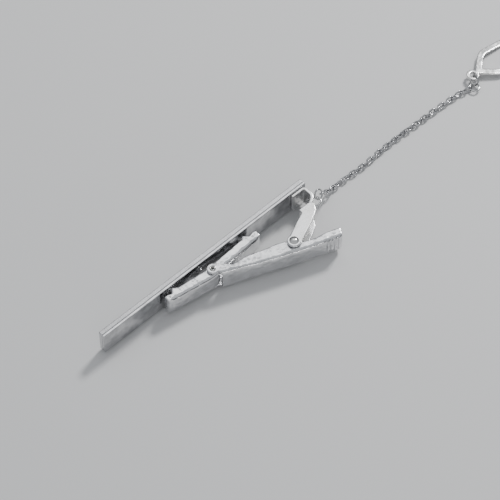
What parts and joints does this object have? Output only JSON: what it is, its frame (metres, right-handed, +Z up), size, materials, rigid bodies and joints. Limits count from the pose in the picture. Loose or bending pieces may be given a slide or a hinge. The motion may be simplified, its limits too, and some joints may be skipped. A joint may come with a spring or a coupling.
{
  "type": "tie clip",
  "caption": "Flat tie bar with a sprung alligator clasp, rocking jaw, safety chain and shirt button ring",
  "frame": {"origin": "bottom centre of the clip without its chain, where it lies on its long edge", "axes": "+X along the bar to its free end, +Y from the bar to the clasp's lever, +Z up; the bar's decorative face looks to -Y and the chain leaves towards -X"},
  "size_m": [0.1192, 0.0169, 0.0073],
  "materials": {
    "bar_front": "polished nickel-chrome plate, finely brushed along its long edges",
    "bar_back": "mirror polished plate with a bevelled rim",
    "bracket": "bright plated folded sheet, satin side ears",
    "main_rivet": "plated domed rivet",
    "spring": "bright spring wire",
    "lever": "mirror polished folded sheet",
    "jaw_rivet": "plated tubular rivet",
    "jaw": "mirror polished folded sheet",
    "bracket_ring": "plated wire",
    "chain_first_ring": "plated wire",
    "chain_last_ring": "plated wire",
    "eye_ring": "plated wire",
    "button_ring": "bright plated stamped loop",
    "chain_links": "plated wire links"
  },
  "bodies": {
    "clip_frame": {"front_plate": "bar_front", "back_plate": "bar_back", "hinge_bracket": "bracket", "main_rivet": "main_rivet", "torsion_spring": "spring"},
    "lever_arm": {"lever": "lever", "jaw_rivet": "jaw_rivet"},
    "jaw_foot": {"jaw": "jaw"},
    "bracket_ring_body": {"bracket_ring": "bracket_ring"},
    "first_ring_body": {"chain_first_ring": "chain_first_ring"},
    "chain_1": {"chain_links_1": "chain_links"},
    "chain_2": {"chain_links_2": "chain_links"},
    "chain_3": {"chain_links_3": "chain_links"},
    "chain_4": {"chain_links_4": "chain_links"},
    "chain_5": {"chain_links_5": "chain_links"},
    "chain_6": {"chain_links_6": "chain_links"},
    "chain_7": {"chain_links_7": "chain_links"},
    "chain_8": {"chain_links_8": "chain_links"},
    "chain_9": {"chain_links_9": "chain_links"},
    "last_ring_body": {"chain_last_ring": "chain_last_ring"},
    "eye_ring_body": {"eye_ring": "eye_ring"},
    "button_ring_body": {"button_ring": "button_ring"}
  },
  "joints": [
    {"name": "lever_pivot", "type": "hinge", "parent": "clip_frame", "child": "lever_arm", "pos_m": [-0.01609, 0.00254, 0.00364], "axis": [0, 0, 1], "range_deg": [0, 30], "stiffness_Nm_per_rad": 0.06, "springref_deg": -51.57, "deforming": ["torsion_spring"]},
    {"name": "jaw_rock", "type": "hinge", "parent": "lever_arm", "child": "jaw_foot", "pos_m": [0.00067, -0.00387, 0.00364], "axis": [0, 0, 1], "range_deg": [-8, 0]},
    {"name": "bracket_ring_swing", "type": "hinge", "parent": "clip_frame", "child": "bracket_ring_body", "pos_m": [-0.02659, -0.0036, 0.00325], "axis": [0, 0, 1], "range_deg": [-8, 8]},
    {"name": "first_ring_swing", "type": "hinge", "parent": "bracket_ring_body", "child": "first_ring_body", "pos_m": [-0.02863, -0.00358, 0.00325], "axis": [0, 0, 1], "range_deg": [-12, 12]},
    {"name": "chain_bend_1", "type": "hinge", "parent": "first_ring_body", "child": "chain_1", "pos_m": [-0.02999, -0.00382, 0.00331], "axis": [0, 0, 1], "range_deg": [-12, 12]},
    {"name": "chain_bend_2", "type": "hinge", "parent": "chain_1", "child": "chain_2", "pos_m": [-0.03426, -0.00439, 0.00082], "axis": [0, 0, 1], "range_deg": [-12, 12]},
    {"name": "chain_bend_3", "type": "hinge", "parent": "chain_2", "child": "chain_3", "pos_m": [-0.03929, -0.00438, 0.00073], "axis": [0, 0, 1], "range_deg": [-12, 12]},
    {"name": "chain_bend_4", "type": "hinge", "parent": "chain_3", "child": "chain_4", "pos_m": [-0.04433, -0.00428, 0.00072], "axis": [0, 0, 1], "range_deg": [-12, 12]},
    {"name": "chain_bend_5", "type": "hinge", "parent": "chain_4", "child": "chain_5", "pos_m": [-0.04936, -0.00458, 0.00072], "axis": [0, 0, 1], "range_deg": [-12, 12]},
    {"name": "chain_bend_6", "type": "hinge", "parent": "chain_5", "child": "chain_6", "pos_m": [-0.0544, -0.00459, 0.00071], "axis": [0, 0, 1], "range_deg": [-12, 12]},
    {"name": "chain_bend_7", "type": "hinge", "parent": "chain_6", "child": "chain_7", "pos_m": [-0.05944, -0.00444, 0.00073], "axis": [0, 0, 1], "range_deg": [-12, 12]},
    {"name": "chain_bend_8", "type": "hinge", "parent": "chain_7", "child": "chain_8", "pos_m": [-0.06448, -0.00427, 0.00077], "axis": [0, 0, 1], "range_deg": [-12, 12]},
    {"name": "chain_bend_9", "type": "hinge", "parent": "chain_8", "child": "chain_9", "pos_m": [-0.06951, -0.00404, 0.00072], "axis": [0, 0, 1], "range_deg": [-12, 12]},
    {"name": "last_ring_swing", "type": "hinge", "parent": "chain_9", "child": "last_ring_body", "pos_m": [-0.07443, -0.0031, 0.00076], "axis": [0, 0, 1], "range_deg": [-10, 10]},
    {"name": "eye_ring_swing", "type": "hinge", "parent": "last_ring_body", "child": "eye_ring_body", "pos_m": [-0.07591, -0.00324, 0.00076], "axis": [0, 0, 1], "range_deg": [-10, 10]},
    {"name": "button_ring_swing", "type": "hinge", "parent": "eye_ring_body", "child": "button_ring_body", "pos_m": [-0.07678, -0.0048, 0.00139], "axis": [0, 0, 1], "range_deg": [-10, 10]}
  ],
  "couplings": [
    {"joint": "jaw_rock", "follows": "lever_pivot", "ratio": -0.25}
  ]
}
